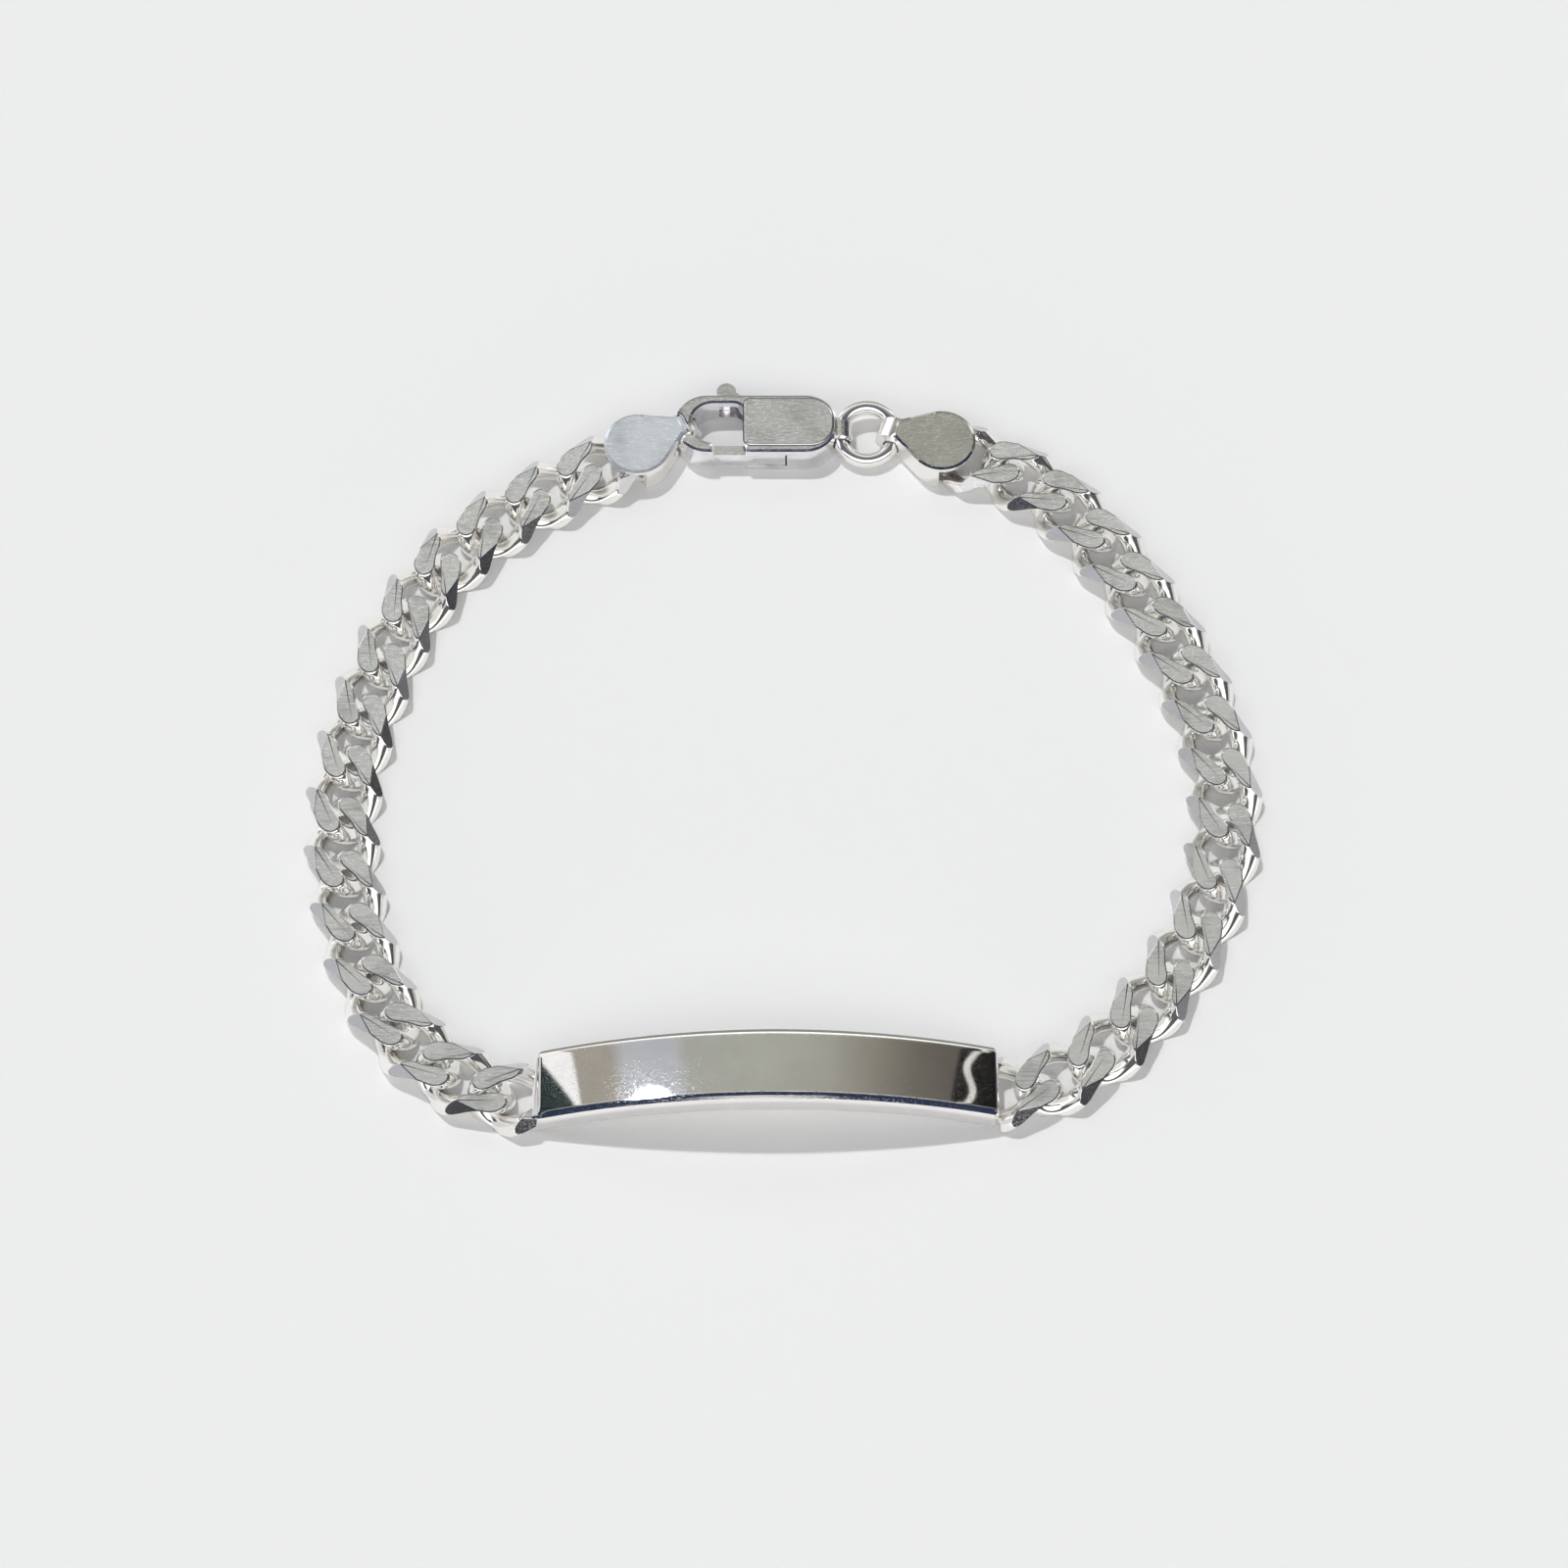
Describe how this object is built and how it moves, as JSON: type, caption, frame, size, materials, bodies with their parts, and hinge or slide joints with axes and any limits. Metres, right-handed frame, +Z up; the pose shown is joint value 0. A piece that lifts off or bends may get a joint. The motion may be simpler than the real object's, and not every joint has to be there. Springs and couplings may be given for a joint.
{
  "type": "id bracelet",
  "caption": "Curb chain identity bracelet with an arched blank plate, drop shaped end caps, a jump ring and an oval trigger clasp with a sprung lever.",
  "frame": {"origin": "on the surface that the bracelet lies on, under the middle of its box", "axes": "+X along the plate to its right end, +Y from the plate to the clasp, +Z up from the surface"},
  "size_m": [0.072, 0.0632, 0.0059],
  "materials": {
    "plate_silver": "polished silver",
    "link_silver": "polished silver with flats ground and finely scratched",
    "cap_silver": "polished silver, finely scratched",
    "ring_silver": "polished silver",
    "clasp_silver": "polished silver, finely scratched",
    "pin_steel": "polished"
  },
  "bodies": {
    "bracelet": {"plate": "plate_silver", "link_left_01": "link_silver", "link_left_02": "link_silver", "link_left_03": "link_silver", "link_left_04": "link_silver", "link_left_05": "link_silver", "link_left_06": "link_silver", "link_left_07": "link_silver", "link_left_08": "link_silver", "link_left_09": "link_silver", "link_left_10": "link_silver", "link_left_11": "link_silver", "link_left_12": "link_silver", "link_left_13": "link_silver", "link_left_14": "link_silver", "link_left_15": "link_silver", "link_right_01": "link_silver", "link_right_02": "link_silver", "link_right_03": "link_silver", "link_right_04": "link_silver", "link_right_05": "link_silver", "link_right_06": "link_silver", "link_right_07": "link_silver", "link_right_08": "link_silver", "link_right_09": "link_silver", "link_right_10": "link_silver", "link_right_11": "link_silver", "link_right_12": "link_silver", "link_right_13": "link_silver", "link_right_14": "link_silver", "link_right_15": "link_silver", "end_cap_left": "cap_silver", "end_cap_right": "cap_silver", "jump_ring": "ring_silver", "clasp_body": "clasp_silver", "lever_pin": "pin_steel"},
    "lever": {"clasp_lever": "clasp_silver"}
  },
  "joints": [
    {"name": "lever_hinge", "type": "hinge", "parent": "bracelet", "child": "lever", "pos_m": [-0.00069, 0.0261, 0.00133], "axis": [0, 0, -1], "range_deg": [0, 18], "stiffness_Nm_per_rad": 0.019, "springref_deg": -17.19}
  ]
}
